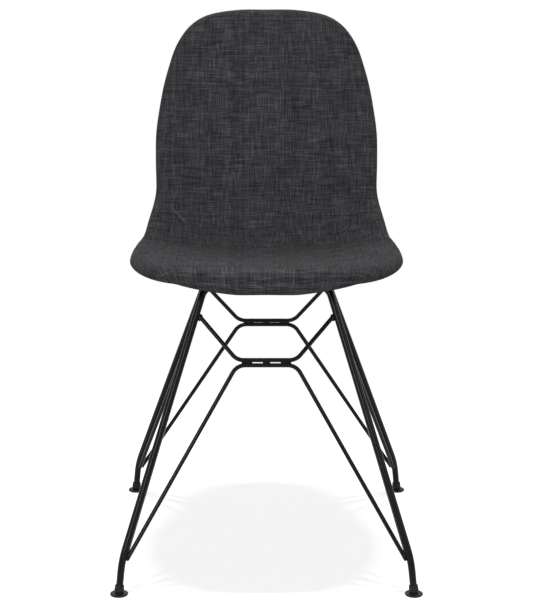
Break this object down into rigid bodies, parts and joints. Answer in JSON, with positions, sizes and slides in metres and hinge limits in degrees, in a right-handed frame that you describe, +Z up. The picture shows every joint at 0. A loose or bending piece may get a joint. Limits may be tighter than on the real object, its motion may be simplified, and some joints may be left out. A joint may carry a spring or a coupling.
{
  "type": "dining chair",
  "caption": "Side chair with an upholstered one-piece seat and back shell on a black welded wire base with lattice bracing and tilting glides.",
  "frame": {"origin": "on the floor under the middle of the chair's box", "axes": "+Z up, the sitter faces -Y, +X to the right when seen from the front camera"},
  "size_m": [0.4918, 0.479, 0.8483],
  "materials": {
    "charcoal_fabric": "heathered plain weave with light and dark slub threads",
    "foam": "open-cell foam",
    "shell_plastic": "moulded, fine texture",
    "black_steel": "satin powder coat",
    "zinc_steel": "zinc plated",
    "brass": "machined",
    "rubber": "matt",
    "glide_plastic": "moulded, satin"
  },
  "bodies": {
    "chair": {"bolt_washers": "zinc_steel", "foam_pad": "foam", "front_cover": "charcoal_fabric", "front_leg_frame": "black_steel", "front_lower_wire": "black_steel", "front_upper_wire": "black_steel", "glide_sleeve_front_left": "glide_plastic", "glide_sleeve_front_right": "glide_plastic", "glide_sleeve_rear_left": "glide_plastic", "glide_sleeve_rear_right": "glide_plastic", "lattice_welds": "black_steel", "left_lower_wire": "black_steel", "left_upper_wire": "black_steel", "leg_welds": "black_steel", "mount_tab_front_left": "black_steel", "mount_tab_front_right": "black_steel", "mount_tab_rear_left": "black_steel", "mount_tab_rear_right": "black_steel", "rear_cover": "charcoal_fabric", "rear_leg_frame": "black_steel", "rear_lower_wire": "black_steel", "rear_upper_wire": "black_steel", "right_lower_wire": "black_steel", "right_upper_wire": "black_steel", "seat_bolts": "zinc_steel", "seat_pad_front_left": "rubber", "seat_pad_front_right": "rubber", "seat_pad_rear_left": "rubber", "seat_pad_rear_right": "rubber", "seat_shell": "shell_plastic", "tab_welds": "black_steel", "threaded_inserts": "brass"},
    "foot_front_left": {"glide_foot_front_left": "glide_plastic"},
    "foot_front_right": {"glide_foot_front_right": "glide_plastic"},
    "foot_rear_left": {"glide_foot_rear_left": "glide_plastic"},
    "foot_rear_right": {"glide_foot_rear_right": "glide_plastic"}
  },
  "joints": [
    {"name": "tilt_front_left", "type": "hinge", "parent": "chair", "child": "foot_front_left", "pos_m": [-0.225, -0.22555, 0.0056], "axis": [0.7071, -0.7071, 0], "range_deg": [-7, 7]},
    {"name": "tilt_front_right", "type": "hinge", "parent": "chair", "child": "foot_front_right", "pos_m": [0.225, -0.22555, 0.0056], "axis": [0.7071, 0.7071, 0], "range_deg": [-7, 7]},
    {"name": "tilt_rear_left", "type": "hinge", "parent": "chair", "child": "foot_rear_left", "pos_m": [-0.232, 0.22445, 0.0056], "axis": [0.7071, 0.7071, 0], "range_deg": [-7, 7]},
    {"name": "tilt_rear_right", "type": "hinge", "parent": "chair", "child": "foot_rear_right", "pos_m": [0.232, 0.22445, 0.0056], "axis": [0.7071, -0.7071, 0], "range_deg": [-7, 7]}
  ]
}
